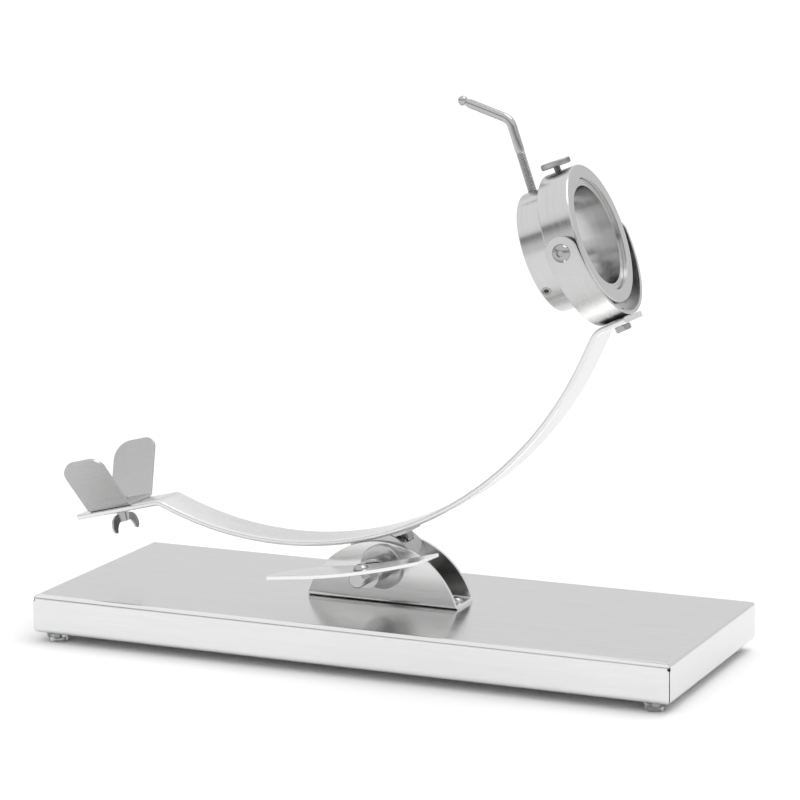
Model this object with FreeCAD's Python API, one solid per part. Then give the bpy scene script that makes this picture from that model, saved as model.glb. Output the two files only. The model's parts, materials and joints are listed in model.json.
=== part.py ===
"""Ham holder stand: folded steel base, tilting bar, rotating clamp ring.

Units are millimetres.  +X runs along the base towards the clamp ring, -Y is the
side of the lever, +Z is up.  The origin is on the floor under the base's centre.
"""
import FreeCAD, Part
import math
import os

V = FreeCAD.Vector

# ---- base -----------------------------------------------------------------
base_length = 600.0
base_width = 217.0
base_height = 35.0
sheet = 2.0
bend_radius = 4.5          # outside of the fold
flange_width = 26.0        # lip turned in under the sides
seam_gap = 0.8             # open corner seam
relief_radius = 1.6
foot_height = 8.0
foot_top_radius = 10.5
foot_low_radius = 8.6
foot_inset_x = 17.0
foot_inset_y = 13.0
base_top = foot_height + base_height

# ---- pivot bracket --------------------------------------------------------
bracket_length = 144.0
bracket_width = 37.5
bracket_sheet = 3.0
bracket_bend = 4.5
ear_radius = 74.5
ear_centre_drop = 19.7     # arc centre of the ears below the base top
bracket_screw_x = 63.0
stiffener_length = 150.0
stiffener_width = 70.0

# ---- pivot and its clamp --------------------------------------------------
pivot_x = 2.0
pivot_z = base_top + 33.2
spindle_radius = 6.0
run_gap = 0.05             # radial clearance of turning fits
touch_gap = 0.25           # side clearance of parts that slide past each other
clamp_disc_radius = 19.7
clamp_disc_thickness = 4.0
hub_radius = 10.5
hub_end = 48.0             # the hub's pieces end at these distances from the middle
hub_flange_radius = 12.0
hub_flange_end = 52.0
nose_radius = 7.5
nose_end = 72.0
lever_near = -73.0         # straight long edge of the lever strip
lever_far = -37.0
lever_far_end = -45.6      # the far edge slants in towards the right end
lever_thickness = 3.0
lever_left = 86.0
lever_right = 68.8         # far corner of the slanting right end
lever_right_near = 61.7
lever_tip_rise = 7.8       # its ends above the pivot, measured square to the strip
lever_end_rise = 8.8
lever_middle = -6.2
lever_seat = 4.1           # flat on the hub above the pivot's axis
lever_curve = 650.0
lever_half_bend = 4.5      # half the change of slope from end to end, degrees
lever_rest = 10.4          # slope of the lever as it is left, degrees
lever_screw_y = -60.0
lever_tip_width = 4.0
lever_leaf = 50.0          # length of the curved far edge at the lever's tip

# ---- bar ------------------------------------------------------------------
bar_width = 40.0
bar_thickness = 5.0
bar_arc_radius = 316.3     # middle of the thickness
bar_arc_x = -96.5
bar_arc_z = base_top + 362.2
bar_tip_x = -305.7
bar_tip_z = base_top + 49.9
left_slope = 14.0
knee_slope = -22.2
steep_slope = 64.3
tab_slope = 24.6
knee_bend = 12.0
tab_bend = 18.0
tab_overhang = 13.0        # bar beyond the yoke bolt
slot_length = 46.0
slot_width = 6.6
cradle_place = 37.0        # bolt's distance from the bar's free end
saddle_thickness = 3.0
saddle_radius = 28.0
saddle_width = 31.0
saddle_length = 56.0
pocket_depth = 8.0         # room for the nuts under the saddle
stud_angle = 3.7           # half the angle between the bar's two welded studs
stud_middle = 16.9
stud_length = 10.5         # below the bar

# ---- cradle under the butt of the ham ---------------------------------------
cradle_length = 44.0       # along the bar
cradle_half = 20.0         # from the bolt to each bend
cradle_sheet = 3.0
cradle_lean = 33.0         # how far its sides lean out
cradle_side = 58.5
cradle_bend = 5.0
cradle_end_corner = 17.0   # at the bar's free end
cradle_inner_corner = 11.0
cradle_bolt_length = 15.6  # below the bar's top
wing_turn = 63.0           # where the wing nut is left, degrees from the bar

# ---- yoke -----------------------------------------------------------------
head_x = 186.9             # middle of the ring's pivot line
head_z = base_top + 322.7
yoke_radius = 68.0
yoke_sheet = 3.0
yoke_width = 27.5
yoke_turn = 3.3            # the yoke as it is left on its bolt, degrees
seat_gap = 0.3
spacer_radius = 8.0
spacer_gap = 0.7           # to the yoke, which curves in below its arms

# ---- ring and collar ------------------------------------------------------
ring_tilt = -4.1           # ring axis against the yoke's axis, degrees
ring_rise = 4.9            # ring axis above the pivot line
ring_radius = 60.5
ring_half = 14.0
journal_radius = 46.4
counterbore_radius = 49.0
counterbore_depth = 6.0
bore_radius = 43.0
collar_radius = 51.9
collar_end = -38.1
collar_gap = 0.3
end_ring_recess = 3.2
end_ring_thickness = 2.6
screw_place = -32.5        # the three clamping screws along the ring's axis
screw_radius = 4.0
set_screw_length = 14.0
pad_radius = 6.0
pad_thickness = 4.0
clamp_tip = 31.0
thread_end = 86.4
handle_corner = 115.4
handle_reach = 43.4
handle_bend = 50.7         # degrees
handle_bend_radius = 13.0
handle_radius = 4.0
ball_radius = 4.4
thumb_place = -3.5
thumb_radius = 3.0
thumb_head_radius = 12.8
thumb_head_low = 64.4
thumb_head_height = 5.0
plug_length = 5.0

X_AXIS = V(1, 0, 0)
Y_AXIS = V(0, 1, 0)
Z_AXIS = V(0, 0, 1)
ORIGIN = V(0, 0, 0)


# ---- small tools ----------------------------------------------------------
def save(name, shape):
    shape.exportStep("parts/" + name + ".step")
    print(name, round(shape.Volume), shape.isValid(), len(shape.Solids))


def turned(shape, axis, degrees, centre=ORIGIN):
    copy = shape.copy()
    copy.rotate(centre, axis, degrees)
    return copy


def moved(shape, x=0.0, y=0.0, z=0.0):
    copy = shape.copy()
    copy.translate(V(x, y, z))
    return copy


def aimed(shape, origin, direction):
    """Put a shape that is built along +Z at origin, pointing along direction."""
    copy = shape.copy()
    rotation = FreeCAD.Rotation(Z_AXIS, direction)
    copy.Placement = FreeCAD.Placement(origin, rotation).multiply(copy.Placement)
    return copy


def fused(shapes):
    first, rest = shapes[0], shapes[1:]
    return first.fuse(rest).removeSplitter()


def block(low, high):
    size = [high[i] - low[i] for i in range(3)]
    return Part.makeBox(size[0], size[1], size[2], V(*low))


def rod(radius, start, end, direction=Z_AXIS, origin=ORIGIN):
    """A cylinder between two distances along direction from origin."""
    return Part.makeCylinder(radius, end - start, origin + direction * start, direction)


def tube(outer, inner, start, end, direction=Z_AXIS, origin=ORIGIN):
    return rod(outer, start, end, direction, origin).cut(
        rod(inner, start - 1, end + 1, direction, origin))


def hexagon(across_flats, start, end):
    corner = across_flats / math.sqrt(3)
    points = [V(corner * math.cos(math.radians(60 * k)), corner * math.sin(math.radians(60 * k)), start)
              for k in range(7)]
    return Part.Face(Part.makePolygon(points)).extrude(V(0, 0, end - start))


def hex_piece(across_flats, start, end):
    """A hexagonal prism with its corners turned off at both ends."""
    prism = hexagon(across_flats, start, end)
    corner = across_flats / math.sqrt(3)
    lathe = rod(corner, start, end)
    rim = [e for e in lathe.Edges if isinstance(e.Curve, Part.Circle)]
    return prism.common(lathe.makeChamfer(0.09 * across_flats, rim))


def hex_nut(size, height):
    across = {5: 8.0, 6: 10.0, 8: 13.0, 12: 18.0}[size]
    return hex_piece(across, 0, height).cut(rod(size / 2 + 0.02, -1, height + 1))


def washer(outer, inner, thickness):
    return tube(outer, inner, 0, thickness)


def button_screw(size, length, head_radius, head_height, socket):
    """Dome headed screw: the head sits on z = 0, the shank goes to -length."""
    dome_radius = (head_radius ** 2 + head_height ** 2) / (2 * head_height)
    dome = Part.makeSphere(dome_radius, V(0, 0, head_height - dome_radius))
    head = dome.common(rod(head_radius, 0, head_height))
    screw = head.fuse(rod(size / 2, -length, 0.01))
    return screw.cut(hexagon(socket, 0.45 * head_height, head_height + 1))


# ---- bent strips ----------------------------------------------------------
def direction(slope):
    return V(math.cos(math.radians(slope)), 0, math.sin(math.radians(slope)))


def meet(point_a, slope_a, point_b, slope_b):
    """Where two lines in the XZ plane cross."""
    a, b = direction(slope_a), direction(slope_b)
    gap = point_b - point_a
    along = (gap.x * b.z - gap.z * b.x) / (a.x * b.z - a.z * b.x)
    return point_a + a * along


def side_line(points, radii, offset):
    """The path's edges, moved sideways by offset (positive to the left)."""
    units = [(points[i + 1] - points[i]).normalize() for i in range(len(points) - 1)]
    lefts = [V(-u.z, 0, u.x) for u in units]
    corners = [points[0] + lefts[0] * offset]
    for i in range(1, len(points) - 1):
        bisector = (lefts[i - 1] + lefts[i]).normalize()
        corners.append(points[i] + bisector * (offset / bisector.dot(lefts[i])))
    corners.append(points[-1] + lefts[-1] * offset)
    edges = []
    start = corners[0]
    for i, radius in enumerate(radii, start=1):
        before, after = units[i - 1], units[i]
        turn = before.getAngle(after)
        left_turn = before.z * after.x - before.x * after.z < 0
        own_radius = radius - offset if left_turn else radius + offset
        reach = own_radius * math.tan(turn / 2)
        enter = corners[i] - before * reach
        leave = corners[i] + after * reach
        inward = (after - before).normalize()
        middle = corners[i] + inward * (own_radius / math.cos(turn / 2) - own_radius)
        edges.append(Part.LineSegment(start, enter).toShape())
        edges.append(Part.Arc(enter, middle, leave).toShape())
        start = leave
    edges.append(Part.LineSegment(start, corners[-1]).toShape())
    return edges


def bent_strip(points, radii, thickness, low_y, high_y):
    """A strip of even thickness that follows a path in the XZ plane."""
    upper = side_line(points, radii, thickness / 2)
    lower = side_line(points, radii, -thickness / 2)
    closing = [
        Part.LineSegment(upper[0].Vertexes[0].Point, lower[0].Vertexes[0].Point).toShape(),
        Part.LineSegment(upper[-1].Vertexes[-1].Point, lower[-1].Vertexes[-1].Point).toShape(),
    ]
    wire = Part.Wire(Part.__sortEdges__(upper + lower + closing))
    face = Part.Face(wire)
    return moved(face.extrude(V(0, high_y - low_y, 0)), y=low_y)


# ---- base -----------------------------------------------------------------
def folded_side(half_length, half_width):
    """One long or short side of the tray: fold, skirt and lip, along X at -Y."""
    top = base_top - sheet / 2
    bottom = foot_height + sheet / 2
    outer = half_width - sheet / 2
    middle_radius = bend_radius - sheet / 2
    lip = outer - flange_width + sheet
    path = [V(outer - 2 * bend_radius, 0, top), V(outer, 0, top), V(outer, 0, bottom), V(lip, 0, bottom)]
    section = bent_strip(path, [middle_radius, middle_radius], sheet, -half_length, half_length)
    return turned(section, Z_AXIS, -90)


def mitred_lip(half_length, half_width, long_side):
    """Everything but the corner triangles, so that the lips meet at 45 degrees."""
    depth = flange_width + 2
    inner = half_length - depth
    outline = [V(-half_length, -half_width, 0), V(half_length, -half_width, 0),
               V(inner, -half_width + depth, 0), V(-inner, -half_width + depth, 0)]
    trim = seam_gap / 2 if long_side else 0.0
    keep = Part.Face(Part.makePolygon(outline + outline[:1])).extrude(V(0, 0, base_top + 1))
    return moved(keep, y=-trim)


def base_tray():
    half_x = base_length / 2
    half_y = base_width / 2
    plate = block((-half_x + 2 * bend_radius - 1, -half_y + 2 * bend_radius - 1, base_top - sheet),
                  (half_x - 2 * bend_radius + 1, half_y - 2 * bend_radius + 1, base_top))
    pieces = [plate]
    front = folded_side(half_x, half_y).common(mitred_lip(half_x, half_y, True))
    end = folded_side(half_y, half_x).common(mitred_lip(half_y, half_x, False))
    for half_turn in (0, 180):
        pieces.append(turned(front, Z_AXIS, half_turn))
        pieces.append(turned(end, Z_AXIS, 90 + half_turn))
    tray = fused(pieces)
    for sx in (-1, 1):
        for sy in (-1, 1):
            tray = tray.cut(corner_seam(sx, sy))
            spot = V(sx * (half_x - foot_inset_x), sy * (half_y - foot_inset_y), 0)
            tray = tray.cut(rod(2.6, 0, foot_height + 2 * sheet, origin=spot))
        tray = tray.cut(rod(4.2, 0, base_top + 1, origin=V(sx * bracket_screw_x, 0, foot_height)))
    return tray


def corner_seam(sx, sy):
    """The open slit between two folded sides, with a round relief at its top."""
    corner = V(sx * base_length / 2, sy * base_width / 2, 0)
    inward = V(-sx, -sy, 0).normalize()
    slit = block((-2, -seam_gap / 2, 0), (bend_radius * 1.5, seam_gap / 2, base_top - bend_radius))
    angle = math.degrees(math.atan2(inward.y, inward.x))
    relief = rod(relief_radius, -3, bend_radius * 1.5, X_AXIS, V(0, 0, base_top - bend_radius))
    lip_slit = block((-2, -seam_gap / 2, 0), (flange_width * 1.6, seam_gap / 2, foot_height + sheet + 0.5))
    cutter = turned(fused([slit, relief, lip_slit]), Z_AXIS, angle)
    cutter.translate(corner)
    return cutter


def foot_places():
    x = base_length / 2 - foot_inset_x
    y = base_width / 2 - foot_inset_y
    return [V(sx * x, sy * y, 0) for sx in (-1, 1) for sy in (-1, 1)]


def repeated(shape, places):
    copies = []
    for place in places:
        copy = shape.copy()
        copy.translate(place)
        copies.append(copy)
    return Part.makeCompound(copies)


def foot():
    body = Part.makeCone(foot_low_radius, foot_top_radius, foot_height)
    rims = [e for e in body.Edges if isinstance(e.Curve, Part.Circle)]
    body = body.makeFillet(0.9, rims)
    return body.cut(fused([rod(5.2, -1, 4.6), rod(2.6, 0, foot_height + 1)]))


def foot_screw():
    screw = button_screw(5, 10.6, 4.75, 2.6, 3.0)
    return turned(screw, X_AXIS, 180)


# ---- bracket --------------------------------------------------------------
def pivot_bracket():
    low = base_top + bracket_sheet / 2
    side = bracket_width / 2 - bracket_sheet / 2
    tall = base_top + ear_radius
    middle = bracket_bend - bracket_sheet / 2
    path = [V(-side, 0, tall), V(-side, 0, low), V(side, 0, low), V(side, 0, tall)]
    half = bracket_length / 2
    channel = turned(bent_strip(path, [middle, middle], bracket_sheet, -half, half), Z_AXIS, 90)
    arch = rod(ear_radius, -bracket_width, bracket_width, Y_AXIS, V(0, 0, base_top - ear_centre_drop))
    channel = channel.common(arch)
    pivot = V(pivot_x, 0, pivot_z)
    channel = channel.cut(rod(spindle_radius + run_gap, -bracket_width, bracket_width, Y_AXIS, pivot))
    for sx in (-1, 1):
        channel = channel.cut(rod(4.2, -1, 9, origin=V(sx * bracket_screw_x, 0, base_top)))
    return channel


def bracket_screws():
    screw = moved(button_screw(8, 16.0, 7.0, 4.4, 5.0), z=base_top + bracket_sheet)
    return repeated(screw, [V(-bracket_screw_x, 0, 0), V(bracket_screw_x, 0, 0)])


def stiffener():
    """Flat plate inside the tray that spreads the bracket's load."""
    top = base_top - sheet
    plate = block((-stiffener_length / 2, -stiffener_width / 2, top - 3),
                  (stiffener_length / 2, stiffener_width / 2, top))
    corners = [e for e in plate.Edges if abs(e.tangentAt(e.FirstParameter).z) > 0.9]
    plate = plate.makeFillet(8.0, corners)
    for sx in (-1, 1):
        plate = plate.cut(rod(4.2, top - 5, top + 1, origin=V(sx * bracket_screw_x, 0, 0)))
    return plate


def bracket_nuts():
    nut = moved(hex_nut(8, 6.5), z=base_top - sheet - 3 - 6.5)
    return repeated(nut, [V(-bracket_screw_x, 0, 0), V(bracket_screw_x, 0, 0)])


# ---- clamp of the pivot ---------------------------------------------------
def pivot_at(y):
    return V(pivot_x, y, pivot_z)


def clamp_disc(sign):
    face = bracket_width / 2
    disc = rod(clamp_disc_radius, 0, clamp_disc_thickness)
    rim = [e for e in disc.Edges if isinstance(e.Curve, Part.Circle) and e.Curve.Center.z > 1]
    disc = disc.makeFillet(1.0, rim).cut(rod(spindle_radius + run_gap, -1, clamp_disc_thickness + 1))
    return aimed(disc, pivot_at(sign * face), V(0, sign, 0))


def pivot_nut():
    start = bracket_width / 2 + clamp_disc_thickness
    nut = hex_piece(18.0, 0, 10).cut(rod(spindle_radius + run_gap, -1, 11))
    return aimed(nut, pivot_at(start), Y_AXIS)


def in_lever_frame(shape):
    """From the lever's frame (origin on the pivot's axis, x along the strip)."""
    copy = turned(shape, Y_AXIS, -lever_rest)
    copy.translate(pivot_at(0))
    return copy


def clamp_spindle():
    """Shaft with a turned hub, milled flat on top to seat the lever."""
    shoulder = bracket_width / 2 + clamp_disc_thickness + touch_gap
    out = V(0, -1, 0)
    shaft = rod(spindle_radius, -38, shoulder, out)
    hub = rod(hub_radius, shoulder, hub_end, out)
    hub = hub.makeChamfer(1.0, [e for e in hub.Edges if e.CenterOfMass.y > -shoulder - 1 and e.Closed])
    ring = rod(hub_flange_radius, hub_end - 2, hub_flange_end, out)
    nose = rod(nose_radius, hub_flange_end - 1, nose_end, out)
    nose = nose.makeChamfer(1.2, [e for e in nose.Edges if e.CenterOfMass.y < 1 - nose_end and e.Closed])
    spindle = fused([shaft, hub, ring, nose])
    spindle = spindle.cut(block((-30, -80, lever_seat), (30, lever_far + 0.3, 30)))
    spindle = spindle.cut(rod(screw_radius + 0.02, -9, lever_seat + 1, origin=V(0, lever_screw_y, 0)))
    return in_lever_frame(spindle)


def lever_outline():
    """Plan of the lever: a straight near edge and a leaf shaped tip."""
    left = -lever_left - 1
    corner = V(left, lever_near, 0)
    tip = V(left, lever_near + lever_tip_width, 0)
    full = V(left + lever_leaf, lever_far, 0)
    middle = (tip + full) * 0.5 + V(-6.5, 7.5, 0)
    return Part.Face(Part.Wire([
        Part.LineSegment(corner, tip).toShape(),
        Part.Arc(tip, middle, full).toShape(),
        Part.LineSegment(full, V(lever_right, lever_far_end, 0)).toShape(),
        Part.LineSegment(V(lever_right, lever_far_end, 0), V(lever_right_near, lever_near, 0)).toShape(),
        Part.LineSegment(V(lever_right_near, lever_near, 0), corner).toShape(),
    ]))


def lever_bar():
    lift = lever_thickness / 2
    dip = lever_curve * (1 / math.cos(math.radians(lever_half_bend)) - 1)
    path = [V(-lever_left, 0, lever_tip_rise + lift),
            V(lever_middle, 0, lever_seat - dip + lift + 0.1),
            V(lever_right + 1.5, 0, lever_end_rise + lift)]
    strip = bent_strip(path, [lever_curve], lever_thickness, lever_near, lever_far)
    strip = strip.common(lever_outline().extrude(V(0, 0, 40)))
    strip = strip.cut(rod(screw_radius + 0.1, 0, 40, origin=V(0, lever_screw_y, 0)))
    return in_lever_frame(strip)


def lever_screw():
    top = lever_seat + lever_thickness + 0.4
    return in_lever_frame(moved(button_screw(8, 13.0, 7.0, 4.4, 5.0), y=lever_screw_y, z=top))


# ---- bar ------------------------------------------------------------------
def tangent_point(slope):
    radial = V(math.sin(math.radians(slope)), 0, -math.cos(math.radians(slope)))
    return V(bar_arc_x, 0, bar_arc_z) + radial * bar_arc_radius


tab_along = direction(tab_slope)
tab_up = V(-tab_along.z, 0, tab_along.x)
head = V(head_x, 0, head_z)
tab_seat = head - tab_up * (yoke_radius + seat_gap)   # bolt hole on the tab's top
left_along = direction(left_slope)
left_up = V(-left_along.z, 0, left_along.x)
bar_tip = V(bar_tip_x, 0, bar_tip_z)
cradle_seat = bar_tip + left_along * cradle_place + left_up * (bar_thickness / 2)


def bar_path():
    tab_middle = tab_seat - tab_up * (bar_thickness / 2)
    knee = meet(bar_tip, left_slope, tangent_point(knee_slope), knee_slope)
    low = meet(tangent_point(knee_slope), knee_slope, tangent_point(steep_slope), steep_slope)
    high = meet(tangent_point(steep_slope), steep_slope, tab_middle, tab_slope)
    return [bar_tip, knee, low, high, tab_middle + tab_along * tab_overhang]


def stud_axes():
    """Point on the bar's top face and outward direction, for both studs."""
    axes = []
    for sign in (-1, 1):
        angle = math.radians(stud_middle + sign * stud_angle)
        down = V(math.sin(angle), 0, -math.cos(angle))
        top = V(bar_arc_x, 0, bar_arc_z) + down * (bar_arc_radius - bar_thickness / 2)
        axes.append((top, down * -1))
    return axes


def arm_bar():
    half = bar_width / 2
    bar = bent_strip(bar_path(), [knee_bend, bar_arc_radius, tab_bend], bar_thickness, -half, half)
    ends = [e for e in bar.Edges if e.Length < bar_thickness + 0.1 and abs(e.CenterOfMass.y) > half - 0.1]
    bar = bar.makeFillet(2.0, ends)
    run = slot_length / 2 - slot_width / 2
    round_end = rod(slot_width / 2, -2 * bar_thickness, 2 * bar_thickness)
    box = block((-run, -slot_width / 2, -2 * bar_thickness), (run, slot_width / 2, 2 * bar_thickness))
    slot = fused([box, moved(round_end, x=-run), moved(round_end, x=run)])
    slot = turned(slot, Y_AXIS, -left_slope)
    slot.translate(cradle_seat)
    bar = bar.cut(slot)
    return bar.cut(rod(screw_radius + run_gap, -8, 2, tab_up, tab_seat))


def arm_saddle():
    """Turned barrel between the ears with the seat that carries the bar."""
    centre = V(bar_arc_x, 0, bar_arc_z)
    under = bar_arc_radius + bar_thickness / 2 + 0.03
    half = saddle_width / 2
    barrel = rod(saddle_radius, -half, half, Y_AXIS, pivot_at(0))
    shell = tube(under + saddle_thickness, under, -half + 1, half - 1, Y_AXIS, centre)
    window = block((-saddle_length / 2, -half, -under - 10), (saddle_length / 2, half, -under + 20))
    window = turned(window, Y_AXIS, -stud_middle)
    window.translate(centre)
    barrel = barrel.cut(rod(under, -half - 1, half + 1, Y_AXIS, centre))
    under_saddle = -bar_thickness - saddle_thickness
    for top, up in stud_axes():
        barrel = barrel.cut(rod(7.2, under_saddle - pocket_depth, under_saddle, up, top))
    saddle = fused([barrel, shell.common(window)])
    for top, up in stud_axes():
        saddle = saddle.cut(rod(3.1, -16, 1, up, top))
    return saddle.cut(rod(spindle_radius + run_gap, -half - 1, half + 1, Y_AXIS, pivot_at(0)))


def arm_studs():
    """Threaded studs welded to the bar's underside."""
    studs = [rod(3.0, -bar_thickness - stud_length, -bar_thickness, up, top) for top, up in stud_axes()]
    return Part.makeCompound(studs)


def arm_nuts():
    nuts = []
    for top, up in stud_axes():
        under = top - up * (bar_thickness + saddle_thickness + 0.1)
        nuts.append(aimed(hex_nut(6, 5.0), under, up * -1))
    return Part.makeCompound(nuts)


# ---- cradle and its wing nut ------------------------------------------------
def on_left_stretch(shape):
    """From the cradle's frame (x along the bar, z off its top) to the stand."""
    copy = turned(shape, Y_AXIS, -left_slope)
    copy.translate(cradle_seat)
    return copy


def cradle():
    """Floor on the bar with two sides that lean outwards."""
    low = cradle_sheet / 2 + 0.1
    out = cradle_half + cradle_side * math.sin(math.radians(cradle_lean))
    top = low + cradle_side * math.cos(math.radians(cradle_lean))
    path = [V(-out, 0, top), V(-cradle_half, 0, low), V(cradle_half, 0, low), V(out, 0, top)]
    half = cradle_length / 2
    plate = turned(bent_strip(path, [cradle_bend, cradle_bend], cradle_sheet, -half, half), Z_AXIS, 90)
    corners = [e for e in plate.Edges if e.Length < cradle_sheet + 0.1 and e.CenterOfMass.z > 0.9 * top]
    plate = plate.makeFillet(cradle_end_corner, [e for e in corners if e.CenterOfMass.x < 0])
    corners = [e for e in plate.Edges if e.Length < cradle_sheet + 0.1 and e.CenterOfMass.z > 0.9 * top]
    plate = plate.makeFillet(cradle_inner_corner, [e for e in corners if e.CenterOfMass.x > half - 0.1])
    return plate.cut(rod(3.0 + run_gap, -1, 10))


def cradle_bolt():
    """Saddle headed bolt through the cradle's floor and the bar's slot."""
    head_low = cradle_sheet + 0.2
    head_piece = rod(8.0, head_low, head_low + 3.0)
    rim = [e for e in head_piece.Edges if isinstance(e.Curve, Part.Circle) and e.Curve.Center.z > head_low + 2]
    return fused([head_piece.makeFillet(2.0, rim), rod(3.0, -cradle_bolt_length, head_low)])


def cradle_washer():
    return moved(washer(6.2, 3.0 + run_gap, 1.5), z=-bar_thickness - 1.6)


def wing_nut():
    """Hub with two swept wings; it hangs below the bar."""
    top = -bar_thickness - 1.7
    hub = Part.makeCone(5.9, 4.8, 8.5)
    wings = []
    for half_turn in (0, 180):
        root = V(3.5, 0, 1.0)
        points = [root, V(8.8, 0, 2.6), V(13.4, 0, 10.5), V(12.8, 0, 16.5), V(9.9, 0, 17.0),
                  V(7.6, 0, 11.0), V(3.5, 0, 8.2)]
        outline = Part.Wire([
            Part.LineSegment(points[6], points[0]).toShape(),
            Part.LineSegment(points[0], points[1]).toShape(),
            Part.Arc(points[1], V(12.0, 0, 5.8), points[2]).toShape(),
            Part.Arc(points[2], V(13.7, 0, 13.8), points[3]).toShape(),
            Part.Arc(points[3], V(11.4, 0, 17.8), points[4]).toShape(),
            Part.Arc(points[4], V(9.1, 0, 13.8), points[5]).toShape(),
            Part.Arc(points[5], V(5.9, 0, 9.0), points[6]).toShape(),
        ])
        wing = moved(Part.Face(outline).extrude(V(0, 3.0, 0)), y=-1.5)
        wings.append(turned(wing, Z_AXIS, half_turn))
    nut = fused([hub] + wings).cut(rod(3.0 + run_gap, -1, 20))
    nut = turned(turned(nut, X_AXIS, 180), Z_AXIS, wing_turn)
    return moved(nut, z=top)


# ---- yoke -----------------------------------------------------------------
def in_yoke_frame(shape):
    """From the yoke's frame (origin on the pivot line, x along its axis)."""
    copy = turned(shape, Z_AXIS, yoke_turn)
    copy.rotate(ORIGIN, Y_AXIS, -tab_slope)
    copy.translate(head)
    return copy


def in_ring_frame(shape):
    """From the ring's frame (origin on the pivot line, x along the ring's axis)."""
    return in_yoke_frame(turned(shape, Y_AXIS, -ring_tilt))


def yoke():
    half = yoke_width / 2
    inner = yoke_radius - yoke_sheet
    bow = tube(yoke_radius, inner, -half, half, X_AXIS)
    bow = bow.common(block((-half, -90, -90), (half, 90, 0)))
    upper = block((-half, -90, 0), (half, 90, 20))
    ends = []
    for sign in (-1, 1):
        low = min(sign * inner, sign * yoke_radius)
        ends.append(rod(half, low, low + yoke_sheet, Y_AXIS).common(upper))
    strap = fused([bow] + ends)
    strap = strap.cut(rod(screw_radius + run_gap, -90, 90, Y_AXIS))
    return strap.cut(rod(screw_radius + run_gap, -90, -50))


def yoke_bolt():
    """Hexagon bolt, pushed up through the tab and the yoke."""
    head_top = -bar_thickness - 0.05
    shank_top = seat_gap + yoke_sheet + 0.5 + 4.0 + 1.0
    head_piece = hex_piece(13.0, head_top - 5.3, head_top)
    return aimed(fused([head_piece, rod(screw_radius, head_top - 1, shank_top)]), tab_seat, tab_up)


def yoke_nut():
    low = seat_gap + yoke_sheet + 0.5
    return aimed(moved(hex_nut(8, 4.0), z=low), tab_seat, tab_up)


# ---- ring -----------------------------------------------------------------
ring_axis = V(0, 0, ring_rise)


def rims(shape, radius, x):
    return [e for e in shape.Edges
            if isinstance(e.Curve, Part.Circle) and abs(e.Curve.Radius - radius) < 0.01
            and abs(e.Curve.Center.x - x) < 0.01]


def ring_housing():
    body = rod(ring_radius, -ring_half, ring_half, X_AXIS, ring_axis)
    body = body.makeChamfer(0.8, rims(body, ring_radius, -ring_half) + rims(body, ring_radius, ring_half))
    body = body.cut(rod(journal_radius + run_gap, -ring_half - 1, ring_half + 1, X_AXIS, ring_axis))
    body = body.cut(rod(counterbore_radius, ring_half - counterbore_depth, ring_half + 1, X_AXIS, ring_axis))
    for sign in (-1, 1):
        body = body.cut(rod(screw_radius + 0.02, 50.0, 70.0, Y_AXIS * sign))
    return body.cut(rod(thumb_radius + run_gap, 40, 70, Z_AXIS, V(thumb_place, 0, ring_rise)))


def pivot_screws():
    screws = []
    for sign in (-1, 1):
        screw = button_screw(8, 17.5, 7.8, 4.6, 5.0)
        screws.append(aimed(screw, V(0, sign * (yoke_radius + 0.1), 0), V(0, sign, 0)))
    return Part.makeCompound(screws)


def pivot_spacers():
    """Bushes that centre the ring between the yoke's arms."""
    inner = yoke_radius - yoke_sheet - spacer_gap
    solid_ring = rod(ring_radius + 0.02, -ring_half, ring_half, X_AXIS, ring_axis)
    spacers = []
    for sign in (-1, 1):
        bush = tube(spacer_radius, screw_radius + 0.02, 57, inner, Y_AXIS * sign)
        spacers.append(bush.cut(solid_ring))
    return Part.makeCompound([s.Solids[0] for s in spacers])


def clamp_collar():
    """Rotating collar with the long sleeve that runs in the ring."""
    flange_end = -ring_half - collar_gap
    sleeve_end = ring_half - end_ring_recess
    flange = rod(collar_radius, collar_end, flange_end, X_AXIS, ring_axis)
    flange = flange.makeChamfer(0.8, rims(flange, collar_radius, collar_end))
    sleeve = rod(journal_radius, flange_end - 1, sleeve_end - end_ring_thickness, X_AXIS, ring_axis)
    spigot = rod(bore_radius + 2.0, flange_end, sleeve_end, X_AXIS, ring_axis)
    collar = fused([flange, sleeve, spigot])
    collar = collar.cut(rod(bore_radius, collar_end - 1, ring_half, X_AXIS, ring_axis))
    for angle in clamp_angles:
        collar = collar.cut(rod(screw_radius + run_gap, 30, 60, spoke(angle), spoke_centre))
    return collar


def end_ring():
    """Retaining ring pressed on the sleeve's end, inside the counterbore."""
    high = ring_half - end_ring_recess
    return tube(counterbore_radius - 0.3, bore_radius + 2.02, high - end_ring_thickness + 0.02, high,
                X_AXIS, ring_axis)


# ---- clamping screws, on spokes of the collar -------------------------------
clamp_angles = (-5.0, 126.0, 224.0)     # lever screw, front and rear set screws
spoke_centre = V(screw_place, 0, ring_rise)


def spoke(angle):
    """Outward direction at an angle from the top, turning towards -Y."""
    return V(0, -math.sin(math.radians(angle)), math.cos(math.radians(angle)))


def on_spoke(shape, angle):
    """From a spoke's frame (z outward along the spoke) to the ring's frame."""
    copy = turned(shape, X_AXIS, angle)
    copy.translate(spoke_centre)
    return copy


def set_screw(angle):
    """Headless screw with a pointed tip and a hexagon socket, flush outside."""
    tip = collar_radius - set_screw_length
    body = rod(screw_radius, tip + 2.5, collar_radius)
    body = body.makeChamfer(0.5, [e for e in body.Edges if e.Closed and e.CenterOfMass.z > collar_radius - 1])
    point = Part.makeCone(1.2, screw_radius, 2.5, V(0, 0, tip))
    screw = fused([body, point]).cut(hexagon(4.0, collar_radius - 4.5, collar_radius + 1))
    return on_spoke(screw, angle)


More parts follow.
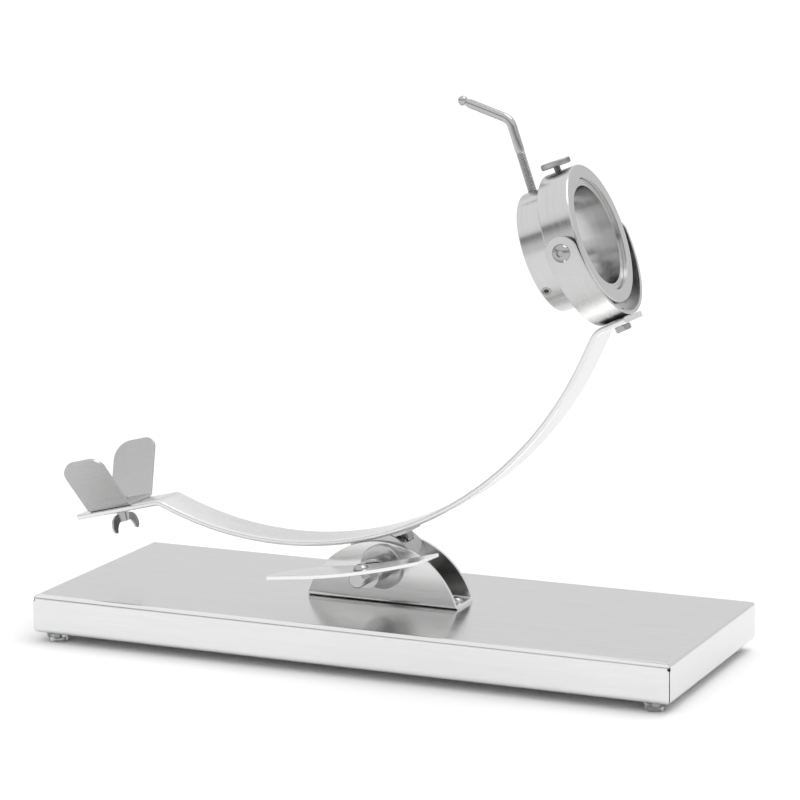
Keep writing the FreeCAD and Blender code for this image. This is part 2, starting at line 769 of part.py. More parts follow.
def clamp_pad():
    """Swivel foot on the tip of the lever screw; it presses on the shank."""
    pad = rod(pad_radius, clamp_tip - pad_thickness, clamp_tip - 0.1)
    rim = [e for e in pad.Edges if isinstance(e.Curve, Part.Circle) and e.Curve.Center.z < clamp_tip - 3]
    return on_spoke(pad.makeFillet(1.0, rim), clamp_angles[0])


def clamp_screw():
    """Threaded rod, bent over above the collar into a handle with a ball end."""
    lower = rod(screw_radius, clamp_tip, thread_end)
    lean = math.radians(handle_bend)
    corner = V(0, 0, handle_corner)
    away = V(-math.sin(lean), 0, math.cos(lean))
    end = corner + away * handle_reach
    reach = handle_bend_radius * math.tan(lean / 2)
    enter = corner - Z_AXIS * reach
    leave = corner + away * reach
    inward = (away - Z_AXIS).normalize()
    middle = corner + inward * handle_bend_radius * (1 / math.cos(lean / 2) - 1)
    start = V(0, 0, thread_end)
    path = Part.Wire([
        Part.LineSegment(start, enter).toShape(),
        Part.Arc(enter, middle, leave).toShape(),
        Part.LineSegment(leave, end).toShape(),
    ])
    section = Part.Wire(Part.makeCircle(handle_radius, start, Z_AXIS))
    handle = path.makePipeShell([section], True, False)
    ball = Part.makeSphere(ball_radius, end + away * (ball_radius * 0.55))
    return on_spoke(fused([handle, lower, ball]), clamp_angles[0])


def thumb_screw():
    """Flat round head on a short shank; it clamps the sleeve through a plug."""
    low = journal_radius + 0.1 + plug_length + 0.1
    head_piece = rod(thumb_head_radius, thumb_head_low, thumb_head_low + thumb_head_height)
    edges = [e for e in head_piece.Edges if isinstance(e.Curve, Part.Circle)]
    screw = fused([head_piece.makeChamfer(0.6, edges), rod(thumb_radius, low, thumb_head_low + 0.5)])
    return moved(screw, thumb_place, 0, ring_rise)


def brake_plug():
    low = journal_radius + 0.1
    return moved(rod(thumb_radius, low, low + plug_length), thumb_place, 0, ring_rise)


# ---- write every node -------------------------------------------------------
def main():
    os.makedirs("parts", exist_ok=True)
    save("base_tray", base_tray())
    save("feet", repeated(foot(), foot_places()))
    save("foot_screws", repeated(moved(foot_screw(), z=4.6), foot_places()))
    save("foot_nuts", repeated(moved(hex_nut(5, 4.0), z=foot_height + sheet), foot_places()))
    save("stiffener_plate", stiffener())
    save("pivot_bracket", pivot_bracket())
    save("bracket_screws", bracket_screws())
    save("bracket_nuts", bracket_nuts())
    save("front_clamp_disc", clamp_disc(-1))
    save("rear_clamp_disc", clamp_disc(1))
    save("pivot_nut", pivot_nut())
    save("clamp_spindle", clamp_spindle())
    save("lever_bar", lever_bar())
    save("lever_screw", lever_screw())
    save("arm_bar", arm_bar())
    save("arm_saddle", arm_saddle())
    save("arm_studs", arm_studs())
    save("arm_nuts", arm_nuts())
    save("cradle", on_left_stretch(cradle()))
    save("cradle_bolt", on_left_stretch(cradle_bolt()))
    save("cradle_washer", on_left_stretch(cradle_washer()))
    save("wing_nut", on_left_stretch(wing_nut()))
    save("yoke", in_yoke_frame(yoke()))
    save("yoke_bolt", yoke_bolt())
    save("yoke_nut", yoke_nut())
    save("ring_housing", in_ring_frame(ring_housing()))
    save("pivot_screws", in_ring_frame(pivot_screws()))
    save("pivot_spacers", in_ring_frame(pivot_spacers()))
    save("clamp_collar", in_ring_frame(clamp_collar()))
    save("end_ring", in_ring_frame(end_ring()))
    save("front_set_screw", in_ring_frame(set_screw(clamp_angles[1])))
    save("rear_set_screw", in_ring_frame(set_screw(clamp_angles[2])))
    save("clamp_pad", in_ring_frame(clamp_pad()))
    save("clamp_screw", in_ring_frame(clamp_screw()))
    save("thumb_screw", in_ring_frame(thumb_screw()))
    save("brake_plug", in_ring_frame(brake_plug()))


main()
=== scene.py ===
"""Looks of the ham holder stand: stainless finishes, detail pieces, light and camera.  Metres."""
import bpy
import bmesh
import json
import math
from mathutils import Matrix, Vector


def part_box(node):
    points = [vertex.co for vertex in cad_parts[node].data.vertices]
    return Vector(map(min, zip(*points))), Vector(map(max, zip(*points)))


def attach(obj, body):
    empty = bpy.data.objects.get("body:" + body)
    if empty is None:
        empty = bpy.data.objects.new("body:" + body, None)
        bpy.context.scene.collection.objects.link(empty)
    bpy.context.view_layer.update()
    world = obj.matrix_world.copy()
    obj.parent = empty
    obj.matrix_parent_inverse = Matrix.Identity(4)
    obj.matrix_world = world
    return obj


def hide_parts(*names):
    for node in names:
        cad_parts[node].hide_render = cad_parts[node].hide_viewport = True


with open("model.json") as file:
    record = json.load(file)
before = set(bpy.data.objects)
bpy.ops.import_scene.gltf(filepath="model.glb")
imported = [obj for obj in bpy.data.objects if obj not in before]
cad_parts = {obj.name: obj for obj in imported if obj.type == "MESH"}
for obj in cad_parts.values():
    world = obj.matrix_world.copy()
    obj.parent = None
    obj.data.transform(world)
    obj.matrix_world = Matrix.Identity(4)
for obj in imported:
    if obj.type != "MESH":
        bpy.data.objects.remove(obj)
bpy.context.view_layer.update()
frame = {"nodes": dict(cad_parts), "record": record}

MM = 0.001
X, Y, Z = Vector((1, 0, 0)), Vector((0, 1, 0)), Vector((0, 0, 1))

BEHAVIOUR = frame["record"]["behaviour"]
BODY_OF = {node: body for body, nodes in BEHAVIOUR["bodies"].items() for node in nodes}
JOINTS = {joint["name"]: joint for joint in BEHAVIOUR["joints"]}


# ---- places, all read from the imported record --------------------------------
def joint_point(name):
    return Vector(JOINTS[name]["pos_m"])


def joint_axis(name):
    return Vector(JOINTS[name]["axis"]).normalized()


def middle(node):
    low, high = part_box(node)
    return (Vector(low) + Vector(high)) / 2


def frame_matrix(origin, axis, across):
    """Matrix of a place whose local Z is axis and whose local X lies along across."""
    z = axis.normalized()
    x = (across - z * across.dot(z)).normalized()
    y = z.cross(x)
    matrix = Matrix((x, y, z)).transposed().to_4x4()
    matrix.translation = origin
    return matrix


RING_AXIS = joint_axis("collar_turn")
THUMB_AXIS = joint_axis("thumb_screw_turn")
# Near the centre of the bar's arc: over the bar's middle, as high as the ring housing's top.
BAR_CENTRE = Vector((middle("arm_bar").x, 0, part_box("ring_housing")[1][2]))

PLAIN = Matrix.Identity(4)
PIVOT_FRAME = frame_matrix(joint_point("lever_turn"), Y, X)
RING_FRAME = frame_matrix(joint_point("collar_turn"), RING_AXIS, THUMB_AXIS)
SCREW_FRAME = frame_matrix(joint_point("clamp_screw_turn"), joint_axis("clamp_screw_turn"),
                           -RING_AXIS)
THUMB_FRAME = frame_matrix(joint_point("thumb_screw_turn"), THUMB_AXIS, RING_AXIS)
BOLT_FRAME = frame_matrix(joint_point("cradle_turn"), joint_axis("wing_nut_turn"),
                          joint_axis("cradle_slide"))
BAR_FRAME = frame_matrix(BAR_CENTRE, Y, X)
LEVER_FRAME = frame_matrix(middle("lever_bar"), Z, X)


# ---- materials --------------------------------------------------------------
WARMTH = 0.004                              # how far stainless steel leans from grey to yellow
FINE_SHARE, BROAD_SHARE = 0.7, 0.3          # weight of fine and broad lines in the grain
BROAD_GRAIN = 0.17                          # scale of the broad lines against the fine ones
SMUDGE_SCALE, SPECK_SCALE = 14.0, 420.0     # noise cells per metre
NOISE_LOW, NOISE_HIGH = 0.3, 0.7            # noise seldom leaves this band
EDGE_STARTS, EDGE_FULL = 0.995, 0.93        # cosine between the rounded and the true normal
GRAIN_DARK, GRAIN_BRIGHT, SMUDGE_TONE = 0.93, 1.05, 0.94    # shares of the steel's tone
SMUDGE_MOST = 0.35                          # strongest cover by a smudge
BRIGHTEST_EDGE = 0.9
GRAIN_ROUGH, WORN_ROUGH = 0.25, 0.3         # changes of roughness, as shares of it
SPECK_ROUGH = 0.01                          # and as a plain amount
GRAIN_DEPTH, FLOW_DEPTH = 0.02 * MM, 0.1 * MM
FOOT_SHADOW, FOOT_LIGHT = (0.80, 0.83, 0.82, 1.0), (0.93, 0.95, 0.94, 1.0)
PLUG_SHADOW, PLUG_LIGHT = (0.72, 0.70, 0.64, 1.0), (0.86, 0.84, 0.79, 1.0)


class Graph:
    """A material's node tree, written as nested calls."""

    def __init__(self, name):
        self.material = bpy.data.materials.new(name)
        self.material.use_nodes = True
        self.tree = self.material.node_tree
        self.shader = self.tree.nodes["Principled BSDF"]

    def node(self, kind, settings=(), **sockets):
        """A new node; a socket is given by its name, or as i0, i1 and so on by its number."""
        made = self.tree.nodes.new("ShaderNode" + kind)
        for key, value in dict(settings).items():
            setattr(made, key, value)
        for key, value in sockets.items():
            numbered = key[0] == "i" and key[1:].isdigit()
            self.feed(made.inputs[int(key[1:]) if numbered else key], value)
        return made

    def feed(self, socket, value):
        if isinstance(value, bpy.types.NodeSocket):
            self.tree.links.new(value, socket)
        else:
            socket.default_value = value

    def maths(self, operation, a, b=0.0):
        return self.node("Math", {"operation": operation}, i0=a, i1=b).outputs[0]

    def noise(self, vector, scale, detail, roughness):
        made = self.node("TexNoise", Vector=vector, Scale=scale, Detail=detail,
                         Roughness=roughness)
        return made.outputs[0]

    def spread(self, value, low, high):
        """Map 0..1 noise, which stays near its middle, to low..high."""
        made = self.node("MapRange", i0=value, i1=NOISE_LOW, i2=NOISE_HIGH, i3=low, i4=high)
        return made.outputs[0]

    def mix(self, factor, a, b):
        """Mix two colours: sockets 0, 6 and 7 are the node's factor and its colours."""
        return self.node("Mix", {"data_type": "RGBA"}, i0=factor, i6=a, i7=b).outputs[2]

    def object_place(self):
        return self.node("TexCoord").outputs["Object"]

    def place(self, matrix):
        """Object coordinates seen from a local frame."""
        made = self.node("Mapping", {"vector_type": "TEXTURE"}, Vector=self.object_place())
        made.inputs["Location"].default_value = matrix.translation
        made.inputs["Rotation"].default_value = matrix.to_euler()
        return made.outputs[0]

    def straight(self, matrix, squeeze):
        """Coordinates pulled out along the local X axis, for brushed flat stock."""
        made = self.node("VectorMath", {"operation": "MULTIPLY"}, i0=self.place(matrix),
                         i1=(squeeze, 1.0, 1.0))
        return made.outputs[0]

    def turned(self, matrix, squeeze, radius):
        """Coordinates pulled out around the local Z axis, for turned or bent stock."""
        x, y, z = self.node("SeparateXYZ", Vector=self.place(matrix)).outputs
        squares = self.maths("ADD", self.maths("MULTIPLY", x, x), self.maths("MULTIPLY", y, y))
        outward = self.maths("SQRT", squares)
        arc = self.maths("MULTIPLY", self.maths("ARCTAN2", y, x), squeeze * radius)
        return self.node("CombineXYZ", i0=outward, i1=arc, i2=z).outputs[0]


def along(matrix, squeeze):
    return lambda g: g.straight(matrix, squeeze)


def around(matrix, squeeze, radius):
    return lambda g: g.turned(matrix, squeeze, radius)


def grey(value, warm=0.0):
    return (value * (1 + warm), value, value * (1 - warm), 1.0)


def steel(name, coordinates, tone, rough, grain, bump, rounding=0.4, smudge=0.04):
    """Stainless steel: grain lines, faint smudges, and edges rubbed brighter.

    tone is its grey, grain its lines per metre, rounding the edges' radius in millimetres, and
    smudge the change of roughness that its smudges make.
    """
    g = Graph(name)
    vector = coordinates(g)
    where = g.object_place()
    fine = g.noise(vector, grain, 4.0, 0.6)
    broad = g.noise(vector, grain * BROAD_GRAIN, 2.0, 0.5)
    lines = g.maths("ADD", g.maths("MULTIPLY", fine, FINE_SHARE),
                    g.maths("MULTIPLY", broad, BROAD_SHARE))
    cloud = g.noise(where, SMUDGE_SCALE, 4.0, 0.55)
    specks = g.noise(where, SPECK_SCALE, 2.0, 0.5)

    soft = g.node("Bevel", {"samples": 4}, Radius=rounding * MM).outputs[0]
    true = g.node("NewGeometry").outputs["Normal"]
    bend = g.node("VectorMath", {"operation": "DOT_PRODUCT"}, i0=soft, i1=true).outputs["Value"]
    edge = g.node("MapRange", i0=bend, i1=EDGE_STARTS, i2=EDGE_FULL, i3=0.0, i4=1.0).outputs[0]
    worn = g.maths("MULTIPLY", edge, g.spread(cloud, 0.4, 1.0))

    colour = g.mix(g.spread(lines, 0.0, 1.0), grey(tone * GRAIN_DARK, WARMTH),
                   grey(tone * GRAIN_BRIGHT, WARMTH))
    colour = g.mix(g.spread(cloud, 0.0, SMUDGE_MOST), colour,
                   grey(tone * SMUDGE_TONE, WARMTH * 2))
    bright = grey(min(BRIGHTEST_EDGE, tone * GRAIN_BRIGHT), WARMTH)
    g.feed(g.shader.inputs["Base Color"], g.mix(worn, colour, bright))

    level = g.maths("ADD", g.spread(lines, -GRAIN_ROUGH * rough, GRAIN_ROUGH * rough), rough)
    level = g.maths("ADD", level, g.spread(cloud, -smudge, smudge))
    level = g.maths("ADD", level, g.spread(specks, -SPECK_ROUGH, SPECK_ROUGH))
    level = g.maths("SUBTRACT", level, g.maths("MULTIPLY", worn, WORN_ROUGH * rough))
    g.feed(g.shader.inputs["Roughness"], level)
    g.shader.inputs["Metallic"].default_value = 1.0
    relief = g.node("Bump", Strength=bump, Distance=GRAIN_DEPTH, Height=lines, Normal=soft)
    g.feed(g.shader.inputs["Normal"], relief.outputs[0])
    return g.material


def clear_plastic(name):
    """Soft clear foot: a little cloudy, with flow lines from the mould."""
    g = Graph(name)
    flow = g.noise(g.object_place(), 260.0, 3.0, 0.6)
    tint = g.mix(g.spread(flow, 0.0, 1.0), FOOT_SHADOW, FOOT_LIGHT)
    g.feed(g.shader.inputs["Base Color"], tint)
    g.feed(g.shader.inputs["Roughness"], g.spread(flow, 0.12, 0.28))
    g.shader.inputs["Transmission Weight"].default_value = 0.85
    g.shader.inputs["IOR"].default_value = 1.45
    relief = g.node("Bump", Strength=0.25, Distance=FLOW_DEPTH, Height=flow)
    g.feed(g.shader.inputs["Normal"], relief.outputs[0])
    return g.material


def plain_plastic(name):
    """Matt off-white plastic of the brake plug."""
    g = Graph(name)
    cloud = g.noise(g.object_place(), 300.0, 3.0, 0.6)
    g.feed(g.shader.inputs["Base Color"], g.mix(cloud, PLUG_SHADOW, PLUG_LIGHT))
    g.feed(g.shader.inputs["Roughness"], g.spread(cloud, 0.4, 0.6))
    return g.material


def pale_floor(name):
    """Matt white floor with a very faint change of tone."""
    g = Graph(name)
    cloud = g.noise(g.object_place(), 1.5, 2.0, 0.5)
    g.feed(g.shader.inputs["Base Color"], g.mix(g.spread(cloud, 0.0, 1.0), grey(0.93), grey(0.95)))
    g.shader.inputs["Roughness"].default_value = 0.9
    g.shader.inputs["Specular IOR Level"].default_value = 0.1
    return g.material


def make_materials():
    """Every finish, under the name of its node or of its entry in MATERIAL_OF."""
    return {
        "base_tray": steel("base_steel", along(PLAIN, 0.02), tone=0.76, rough=0.17,
                           grain=1500.0, bump=0.015, rounding=0.3, smudge=0.015),
        "stiffener_plate": steel("stiffener_steel", along(PLAIN, 0.03), tone=0.55, rough=0.35,
                                 grain=900.0, bump=0.1),
        "pivot_bracket": steel("bracket_steel", along(PLAIN, 0.02), tone=0.76, rough=0.22,
                               grain=1600.0, bump=0.03, smudge=0.02),
        "arm_bar": steel("bar_steel", around(BAR_FRAME, 0.01, 0.3), tone=0.78, rough=0.30,
                         grain=1500.0, bump=0.04, rounding=0.5, smudge=0.02),
        "yoke": steel("yoke_steel", around(RING_FRAME, 0.01, 0.07), tone=0.57, rough=0.30,
                      grain=1600.0, bump=0.05, rounding=0.45, smudge=0.02),
        "cradle": steel("cradle_steel", along(BOLT_FRAME, 0.02), tone=0.50, rough=0.32,
                        grain=1500.0, bump=0.05, smudge=0.02),
        "lever_bar": steel("lever_steel", along(LEVER_FRAME, 0.02), tone=0.84, rough=0.20,
                           grain=1500.0, bump=0.03, rounding=0.5, smudge=0.02),
        "pivot": steel("pivot_steel", around(PIVOT_FRAME, 0.02, 0.02), tone=0.48, rough=0.20,
                       grain=1200.0, bump=0.06, rounding=0.3),
        "ring": steel("ring_steel", around(RING_FRAME, 0.01, 0.06), tone=0.58, rough=0.19,
                      grain=1500.0, bump=0.05, smudge=0.02),
        "screw": steel("screw_steel", around(SCREW_FRAME, 0.3, 0.004), tone=0.46, rough=0.15,
                       grain=600.0, bump=0.05, rounding=0.2),
        "thread": steel("thread_steel", around(SCREW_FRAME, 0.3, 0.004), tone=0.46, rough=0.28,
                        grain=600.0, bump=0.05, rounding=0.1),
        "thumb": steel("thumb_steel", around(THUMB_FRAME, 0.02, 0.013), tone=0.42, rough=0.28,
                       grain=900.0, bump=0.10, rounding=0.2),
        "fastener": steel("fastener_steel", along(PLAIN, 0.6), tone=0.40, rough=0.16,
                          grain=500.0, bump=0.04, rounding=0.2),
        "foot": clear_plastic("foot_plastic"),
        "plug": plain_plastic("plug_plastic"),
    }


# Nodes that share a finish; a node that is in neither table gets "fastener".
MATERIAL_OF = {
    "front_clamp_disc": "pivot", "rear_clamp_disc": "pivot", "clamp_spindle": "pivot",
    "arm_saddle": "pivot", "ring_housing": "ring", "clamp_collar": "ring", "end_ring": "ring",
    "pivot_spacers": "ring", "clamp_pad": "screw", "clamp_screw": "screw",
    "thumb_screw": "thumb", "brake_plug": "plug", "feet": "foot",
}
MATERIALS = make_materials()


def material_for(node):
    return MATERIALS.get(node) or MATERIALS[MATERIAL_OF.get(node, "fastener")]


# ---- mesh tools -------------------------------------------------------------
THREAD_STEPS = 8                # rings of vertices in each turn of a thread
ROOT_HALF = 0.04                # half of the flat at a thread's root, as a share of a turn
WELD = 0.002 * MM               # vertices closer than this become one
FLAT_ANGLE = math.radians(0.3)  # faces that meet at less than this become one
SHARP_ANGLE = 32.0              # degrees; an edge sharper than this is rounded


def add_piece(name, mesh, node, material):
    """A mesh that replaces a CAD node, which it hides, and rides on its body."""
    piece = bpy.data.objects.new(name, mesh)
    bpy.context.scene.collection.objects.link(piece)
    mesh.materials.clear()
    mesh.materials.append(material)
    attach(piece, BODY_OF[node])
    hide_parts(node)
    return piece


def finish_mesh(name, bm, smooth_angle=35.0):
    bmesh.ops.recalc_face_normals(bm, faces=bm.faces)
    mesh = bpy.data.meshes.new(name)
    bm.to_mesh(mesh)
    bm.free()
    mesh.shade_smooth()
    mesh.set_sharp_from_angle(angle=math.radians(smooth_angle))
    return mesh


def ring_of(bm, centre, across, up, radii):
    """One ring of vertices around centre, in the plane of across and up."""
    made = []
    for k, radius in enumerate(radii):
        angle = 2 * math.pi * k / len(radii)
        spoke = across * math.cos(angle) + up * math.sin(angle)
        made.append(bm.verts.new(centre + spoke * radius))
    return made


def skin(bm, rings):
    """Join rings into one closed body with a flat face at each end."""
    for first, second in zip(rings, rings[1:]):
        for k in range(len(first)):
            after = (k + 1) % len(first)
            bm.faces.new((first[k], first[after], second[after], second[k]))
    bm.faces.new(rings[0])
    bm.faces.new(rings[-1])


def lathe(bm, matrix, profile, segments, shape=None):
    """Turn a profile of (radius, height) round local Z; shape(k, i) can change a radius."""
    rings = []
    for i, (radius, height) in enumerate(profile):
        radii = [radius * (shape(k, i) if shape else 1.0) for k in range(segments)]
        rings.append(ring_of(bm, Vector((0, 0, height)), X, Y, radii))
    skin(bm, rings)
    bmesh.ops.transform(bm, matrix=matrix, verts=[v for ring in rings for v in ring])


def thread_profile(turn):
    """Height of a rounded V thread, 0 at its root and 1 at its crest."""
    if abs(turn % 1.0 - 0.5) <= ROOT_HALF:
        return 0.0
    return 0.5 + 0.5 * math.cos(2 * math.pi * turn)


def threaded_rod(bm, matrix, radius, depth, pitch, start, end, segments):
    """A right-hand thread along local Z that fades out over a turn at each end."""
    across, up = matrix.to_3x3() @ X, matrix.to_3x3() @ Y
    steps = max(2, round((end - start) / pitch * THREAD_STEPS))
    rings = []
    for step in range(steps + 1):
        height = start + (end - start) * step / steps
        fade = max(0.0, min(1.0, (height - start) / pitch, (end - height) / pitch))
        radii = []
        for k in range(segments):
            crest = thread_profile(height / pitch - k / segments)
            radii.append(radius - depth + depth * crest * fade)
        rings.append(ring_of(bm, matrix @ Vector((0, 0, height)), across, up, radii))
    skin(bm, rings)


def softened(node, width, material):
    """A copy of a CAD solid with every sharp edge rounded off."""
    bm = bmesh.new()
    bm.from_mesh(frame["nodes"][node].data)
    bmesh.ops.remove_doubles(bm, verts=bm.verts, dist=WELD)
    bmesh.ops.dissolve_limit(bm, angle_limit=FLAT_ANGLE, verts=bm.verts, edges=bm.edges)
    name = node + "_rounded"
    piece = add_piece(name, finish_mesh(name, bm, SHARP_ANGLE), node, material)
    bevel = piece.modifiers.new("round_edges", "BEVEL")
    bevel.width = width
    bevel.segments = 2
    bevel.limit_method = "ANGLE"
    bevel.angle_limit = math.radians(SHARP_ANGLE)
    bevel.harden_normals = True


# ---- detail pieces ----------------------------------------------------------
FOOT_RADIUS = 10.5 * MM         # of the CAD foot, so its centre lies this far inside their box
FOOT_SEGMENTS = 48
FOOT_PROFILE = (                # radius in millimetres, share of the foot's height
    (5.2, 0.55), (5.2, 0.02), (7.4, 0.0), (8.2, 0.03), (8.6, 0.12), (8.7, 0.35), (9.0, 0.42),
    (9.1, 0.5), (9.5, 0.56), (10.2, 0.8), (10.4, 0.92), (10.2, 0.98), (9.6, 1.0),
)


def make_feet():
    """Clear moulded feet that widen upwards, with round rims and a hollow underneath."""
    low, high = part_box("feet")
    tall = high[2] - low[2]
    profile = [(radius * MM, share * tall) for radius, share in FOOT_PROFILE]
    bm = bmesh.new()
    for x in (low[0] + FOOT_RADIUS, high[0] - FOOT_RADIUS):
        for y in (low[1] + FOOT_RADIUS, high[1] - FOOT_RADIUS):
            lathe(bm, Matrix.Translation((x, y, low[2])), profile, FOOT_SEGMENTS)
    add_piece("clear_feet", finish_mesh("clear_feet", bm), "feet", MATERIALS["foot"])


# Clamp screw: heights on its own axis, then the bend and the handle beyond it.
CLAMP_TIP, THREAD_END, HANDLE_CORNER = 31.0 * MM, 86.4 * MM, 115.4 * MM
HANDLE_REACH, HANDLE_BEND, HANDLE_LEAN = 43.4 * MM, 13.0 * MM, math.radians(50.7)
HANDLE_RADIUS, BALL_RADIUS, BALL_RISE = 4.0 * MM, 4.35 * MM, 2.42 * MM
HANDLE_SEGMENTS, ARC_STEPS = 32, 16
CLAMP_DEPTH, CLAMP_PITCH, CLAMP_SEGMENTS = 0.6 * MM, 1.25 * MM, 24
BALL_FIRST_STEP = 3             # the ball's first steps lie inside the neck
# The shank's start (height over the thread's end in millimetres) and the handle's straight run
# (share of its length), each with its share of the handle's radius.
SHANK_START = ((-0.3, 0.86), (0.5, 0.97), (1.2, 1.0), (12.0, 1.0))
NECK = ((0.5, 1.0), (0.84, 1.0), (0.89, 0.97), (0.93, 0.86), (0.96, 0.72), (0.985, 0.64),
        (1.0, 0.62))


def handle_stations():
    """Points, headings and thickness shares from the thread's end to the ball's top."""
    away = Vector((math.sin(HANDLE_LEAN), 0, math.cos(HANDLE_LEAN)))
    turn = HANDLE_BEND * math.tan(HANDLE_LEAN / 2)
    corner = Vector((0, 0, HANDLE_CORNER))
    stations = [(Vector((0, 0, THREAD_END + rise * MM)), Z, share) for rise, share in SHANK_START]
    centre = Vector((HANDLE_BEND, 0, HANDLE_CORNER - turn))
    for step in range(ARC_STEPS + 1):
        swept = HANDLE_LEAN * step / ARC_STEPS
        point = centre + Vector((-math.cos(swept), 0, math.sin(swept))) * HANDLE_BEND
        stations.append((point, Vector((math.sin(swept), 0, math.cos(swept))), 1.0))
    leave = corner + away * turn
    straight = HANDLE_REACH - turn
    for place, share in NECK:
        stations.append((leave + away * straight * place, away, share))
    ball = corner + away * (HANDLE_REACH + BALL_RISE)
    for step in range(BALL_FIRST_STEP, ARC_STEPS):
        angle = math.pi * step / ARC_STEPS
        point = ball - away * math.cos(angle) * BALL_RADIUS
        stations.append((point, away, math.sin(angle) * BALL_RADIUS / HANDLE_RADIUS))
    return stations


def make_handle():
    """Clamp screw: smooth bent handle with neck and ball, and a duller threaded shank."""
    turn = SCREW_FRAME.to_3x3()
    bm = bmesh.new()
    rings = []
    for point, heading, share in handle_stations():
        up = turn @ heading.cross(Y)
        radii = [HANDLE_RADIUS * share] * HANDLE_SEGMENTS
        rings.append(ring_of(bm, SCREW_FRAME @ point, turn @ Y, up, radii))
    skin(bm, rings)
    handle = finish_mesh("clamp_handle", bm, 40.0)
    add_piece("clamp_handle", handle, "clamp_screw", MATERIALS["screw"])
    bm = bmesh.new()
    threaded_rod(bm, SCREW_FRAME, HANDLE_RADIUS, CLAMP_DEPTH, CLAMP_PITCH, CLAMP_TIP, THREAD_END,
                 CLAMP_SEGMENTS)
    thread = finish_mesh("clamp_thread", bm, 40.0)
    add_piece("clamp_thread", thread, "clamp_screw", MATERIALS["thread"])


# Thumb screw: heights on its own axis; the rim is (share of radius, share of height).
KNOB_LOW, KNOB_TALL, KNOB_RADIUS = 64.4 * MM, 5.0 * MM, 12.8 * MM
SHANK_TIP, SHANK_TOP = 51.6 * MM, KNOB_LOW + 0.2 * MM
SHANK_RADIUS, SHANK_DEPTH, SHANK_PITCH, SHANK_SEGMENTS = 3.0 * MM, 0.4 * MM, 1.0 * MM, 20
KNOB_TEETH, TOOTH_STEPS = 84, 4
KNOB_RIM = (
    (0.18, -0.02), (0.35, 0.0), (0.93, 0.0), (0.965, 0.06), (1.0, 0.16), (1.0, 0.33), (1.0, 0.5),
    (1.0, 0.67), (1.0, 0.84), (0.965, 0.94), (0.93, 1.0), (0.55, 1.0), (0.52, 0.97), (0.05, 0.97),
)
KNURL_ROWS, KNURL_MIDDLE = range(4, 9), 6   # rows of the rim that the knurling covers
KNURL_DEPTH, KNURL_WIDTH = 0.035, 0.75      # shares of the radius and of a tooth


def knurl(k, i):
    """Radius share at step k of row i, where two sets of slanted grooves cross."""
    if i not in KNURL_ROWS:
        return 1.0
    slant = (i - KNURL_MIDDLE) * 0.5
    left = abs((k / TOOTH_STEPS + slant) % 1.0 - 0.5)
    right = abs((k / TOOTH_STEPS - slant) % 1.0 - 0.5)
    return 1.0 - KNURL_DEPTH * max(0.0, KNURL_WIDTH - left - right)


def make_thumb_knob():
    """Flat knurled head on a short threaded shank."""
    bm = bmesh.new()
    rim = [(radius * KNOB_RADIUS, height * KNOB_TALL) for radius, height in KNOB_RIM]
    place = THUMB_FRAME @ Matrix.Translation((0, 0, KNOB_LOW))
    lathe(bm, place, rim, KNOB_TEETH * TOOTH_STEPS, knurl)
    threaded_rod(bm, THUMB_FRAME, SHANK_RADIUS, SHANK_DEPTH, SHANK_PITCH, SHANK_TIP, SHANK_TOP,
                 SHANK_SEGMENTS)
    knob = finish_mesh("thumb_knob", bm, 30.0)
    add_piece("thumb_knob", knob, "thumb_screw", MATERIALS["thumb"])


ROUNDED = {                     # edge radius in millimetres
    "arm_bar": 0.55, "lever_bar": 0.5, "yoke": 0.45, "cradle": 0.4, "pivot_bracket": 0.4,
    "wing_nut": 0.5, "front_clamp_disc": 0.3, "rear_clamp_disc": 0.3, "clamp_spindle": 0.3,
    "pivot_nut": 0.3, "pivot_screws": 0.25, "lever_screw": 0.25, "bracket_screws": 0.25,
    "yoke_bolt": 0.2, "yoke_nut": 0.2, "cradle_bolt": 0.2, "front_set_screw": 0.15,
    "rear_set_screw": 0.15,
}

for node_name, node_object in frame["nodes"].items():
    node_object.data.materials.clear()
    node_object.data.materials.append(material_for(node_name))
make_feet()
make_handle()
make_thumb_knob()
for node_name, edge_radius in ROUNDED.items():
    softened(node_name, edge_radius * MM, material_for(node_name))


# ---- floor, light and camera ------------------------------------------------
FLOOR_HALF, FLOOR_CELLS = 30.0, 4
SOFTBOX = 1.08                  # brightness of the softbox; the steps below are shares of it
COOL = 1.005                    # how far the light leans to blue
# Sine of the elevation against the studio's grey: behind the object, and on the camera's side.
BACKDROP = ((0.0, 0.76), (0.30, 0.72), (0.46, 0.78), (0.55, 1.0))
ROOM = ((0.0, 0.80), (0.22, 0.74), (0.34, 0.35), (0.44, 0.14), (0.49, 0.95), (0.60, 1.0))
ROOM_ENDS, BACKDROP_STARTS = -0.45, 0.25    # Y of the direction where one gives way to the other
KEY_TOWARDS, KEY_STRENGTH, KEY_SPREAD = (-0.3, -0.25, -1.0), 0.75, 35.0
CAMERA_PLACE, CAMERA_REACH = (1.1198, -2.3687, 0.7321), 200.0
CAMERA_AZIMUTH, CAMERA_ELEVATION, CAMERA_ROLL = 25.06, 11.06, -0.81
CAMERA_LENS, CAMERA_SENSOR = 138.4, 36.0    # millimetres


def make_floor():
    bm = bmesh.new()
    bmesh.ops.create_grid(bm, x_segments=FLOOR_CELLS, y_segments=FLOOR_CELLS, size=FLOOR_HALF)
    mesh = bpy.data.meshes.new("floor")
    bm.to_mesh(mesh)
    bm.free()
    floor = bpy.data.objects.new("floor", mesh)
    bpy.context.scene.collection.objects.link(floor)
    mesh.materials.append(pale_floor("floor_paint"))


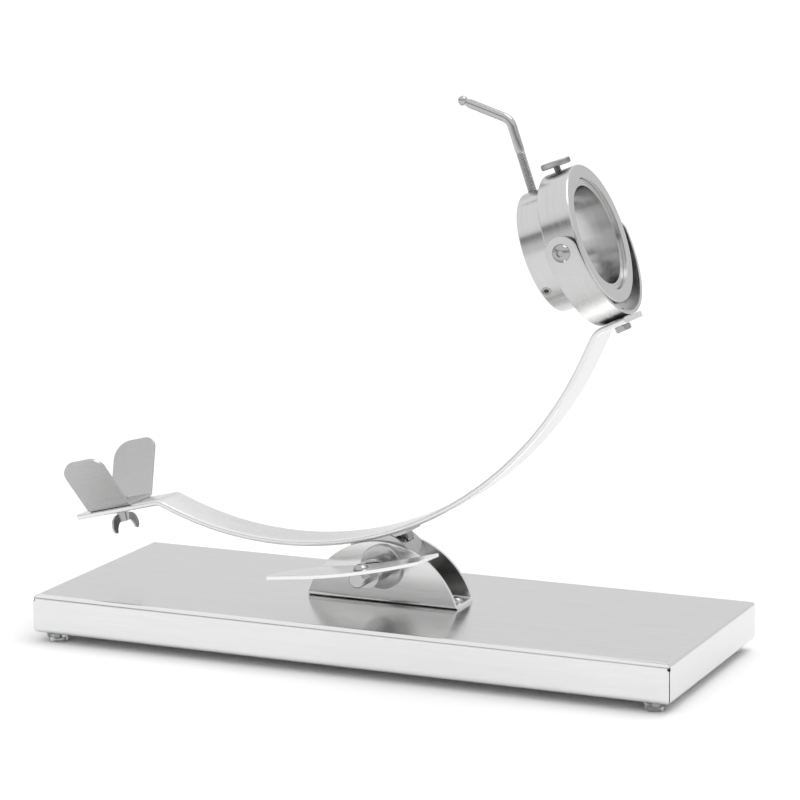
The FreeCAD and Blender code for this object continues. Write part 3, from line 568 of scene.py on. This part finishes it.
def brightness_by_height(tree, height, steps):
    """Grey of the studio against the sine of the elevation."""
    made = tree.nodes.new("ShaderNodeValToRGB")
    elements = made.color_ramp.elements
    while len(elements) < len(steps):
        elements.new(0.5)
    for element, (position, tone) in zip(elements, steps):
        element.position = position
        element.color = (tone, tone, tone * COOL, 1)
    tree.links.new(height, made.inputs[0])
    return made.outputs[0]


def make_world():
    """A white studio: softbox overhead, pale backdrop, and a dim band on the camera's side."""
    world = bpy.data.worlds.new("studio")
    bpy.context.scene.world = world
    world.use_nodes = True
    tree = world.node_tree
    nodes, links = tree.nodes, tree.links
    nodes.clear()
    direction = nodes.new("ShaderNodeTexCoord").outputs["Generated"]
    parts = nodes.new("ShaderNodeSeparateXYZ")
    links.new(direction, parts.inputs[0])
    backdrop = brightness_by_height(tree, parts.outputs[2], BACKDROP)
    room = brightness_by_height(tree, parts.outputs[2], ROOM)
    side = nodes.new("ShaderNodeMapRange")
    links.new(parts.outputs[1], side.inputs[0])
    side.inputs[1].default_value = ROOM_ENDS
    side.inputs[2].default_value = BACKDROP_STARTS
    blend = nodes.new("ShaderNodeMix")
    blend.data_type = "RGBA"
    links.new(side.outputs[0], blend.inputs[0])
    links.new(room, blend.inputs[6])
    links.new(backdrop, blend.inputs[7])
    background = nodes.new("ShaderNodeBackground")
    background.inputs["Strength"].default_value = SOFTBOX
    links.new(blend.outputs[2], background.inputs["Color"])
    output = nodes.new("ShaderNodeOutputWorld")
    links.new(background.outputs[0], output.inputs[0])


def make_key_light():
    """A broad light from above, with wide soft shadows."""
    light = bpy.data.lights.new("key", "SUN")
    light.energy = KEY_STRENGTH
    light.angle = math.radians(KEY_SPREAD)
    lamp = bpy.data.objects.new("key", light)
    lamp.rotation_euler = Vector(KEY_TOWARDS).to_track_quat("-Z", "Y").to_euler()
    bpy.context.scene.collection.objects.link(lamp)


def make_camera():
    data = bpy.data.cameras.new("camera")
    data.lens = CAMERA_LENS
    data.sensor_width = CAMERA_SENSOR
    data.clip_end = CAMERA_REACH
    azimuth, elevation = math.radians(CAMERA_AZIMUTH), math.radians(CAMERA_ELEVATION)
    back = Vector((math.sin(azimuth) * math.cos(elevation),
                   -math.cos(azimuth) * math.cos(elevation), math.sin(elevation)))
    level = back.to_track_quat("Z", "Y").to_matrix().to_4x4()
    roll = Matrix.Rotation(math.radians(CAMERA_ROLL), 4, "Z")
    camera = bpy.data.objects.new("camera", data)
    camera.matrix_world = Matrix.Translation(CAMERA_PLACE) @ level @ roll
    bpy.context.scene.collection.objects.link(camera)
    bpy.context.scene.camera = camera


make_floor()
make_world()
make_camera()
make_key_light()
bpy.context.scene.view_settings.view_transform = "Standard"
